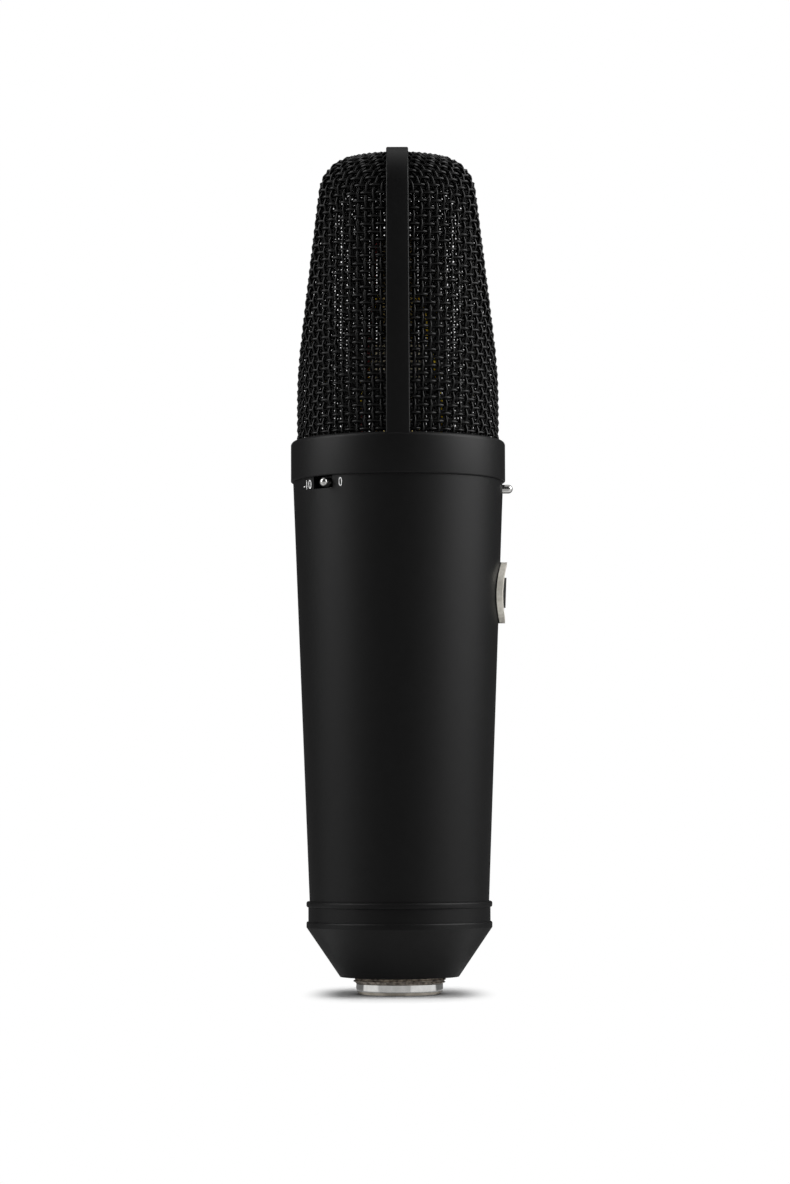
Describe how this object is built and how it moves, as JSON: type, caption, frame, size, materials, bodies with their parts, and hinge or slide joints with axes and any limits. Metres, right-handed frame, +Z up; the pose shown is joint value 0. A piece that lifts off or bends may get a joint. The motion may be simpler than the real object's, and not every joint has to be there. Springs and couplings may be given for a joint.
{
  "type": "condenser microphone",
  "caption": "Side-address condenser microphone: wedge-shaped woven-wire head over a tapered black body, slide switches under the collar, bell base with a threaded connector boss.",
  "frame": {"origin": "centre of the connector boss's rim, at the bottom of the microphone", "axes": "+Z up along the body's axis, -Y the address side with the badge, X across the head along the strap"},
  "size_m": [0.0582, 0.0603, 0.2277],
  "materials": {
    "black_enamel": "satin, fine texture",
    "black_wire": "matt, woven wire",
    "fine_wire": "matt, fine woven wire",
    "nickel": "satin plated, turned",
    "black_plastic": "matt moulded",
    "cream_plastic": "satin moulded",
    "capsule_brass": "fine turned",
    "diaphragm_gold": "bright, thin film",
    "contact_gold": "bright plated",
    "yellow_lead": "satin insulation",
    "red_lead": "satin insulation",
    "bare_aluminium": "brushed",
    "green_board": "lacquered laminate",
    "film_case": "dipped",
    "capacitor_sleeve": "shrunk sleeve",
    "metal_can": "satin",
    "core_steel": "laminated",
    "copper_winding": "lacquered",
    "bracket_steel": "plated",
    "screw_steel": "plated"
  },
  "bodies": {
    "microphone": {"sleeve": "black_enamel", "collar": "black_enamel", "base_bell": "black_enamel", "head_strap": "black_enamel", "outer_mesh": "black_wire", "inner_mesh": "fine_wire", "threaded_boss": "nickel", "badge_dish": "nickel", "badge_button": "black_plastic", "connector_insert": "black_plastic", "capsule_post": "black_plastic", "pattern_housing": "black_plastic", "pad_housing": "black_plastic", "low_cut_housing": "black_plastic", "capsule_saddle": "cream_plastic", "backplate_gasket": "cream_plastic", "front_backplate": "capsule_brass", "rear_backplate": "capsule_brass", "front_clamp_ring": "capsule_brass", "rear_clamp_ring": "capsule_brass", "clamp_screws": "capsule_brass", "centre_terminals": "capsule_brass", "post_foot": "capsule_brass", "front_diaphragm": "diaphragm_gold", "rear_diaphragm": "diaphragm_gold", "connector_pins": "contact_gold", "front_lead": "yellow_lead", "rear_lead": "yellow_lead", "backplate_lead": "red_lead", "left_rail": "bare_aluminium", "right_rail": "bare_aluminium", "base_plate": "bare_aluminium", "head_plate": "bare_aluminium", "switch_board": "green_board", "amplifier_board": "green_board", "converter_board": "green_board", "film_capacitors": "film_case", "electrolytic_capacitors": "capacitor_sleeve", "transistors": "metal_can", "transformer_core": "core_steel", "transformer_winding": "copper_winding", "converter_coil": "copper_winding", "transformer_bracket": "bracket_steel", "head_screws": "screw_steel", "rail_screws": "screw_steel", "board_screws": "screw_steel", "boss_screws": "screw_steel"},
    "pattern_lever": {"pattern_lever": "nickel"},
    "pad_lever": {"pad_lever": "nickel"},
    "low_cut_lever": {"low_cut_lever": "nickel"}
  },
  "joints": [
    {"name": "pattern_slide", "type": "slide", "parent": "microphone", "child": "pattern_lever", "axis": [1, 0, 0], "range_m": [-0.00215, 0.00215]},
    {"name": "pad_slide", "type": "slide", "parent": "microphone", "child": "pad_lever", "axis": [-0.7071, -0.7071, 0], "range_m": [-0.0043, 0]},
    {"name": "low_cut_slide", "type": "slide", "parent": "microphone", "child": "low_cut_lever", "axis": [-0.7071, 0.7071, 0], "range_m": [0, 0.0043]}
  ]
}
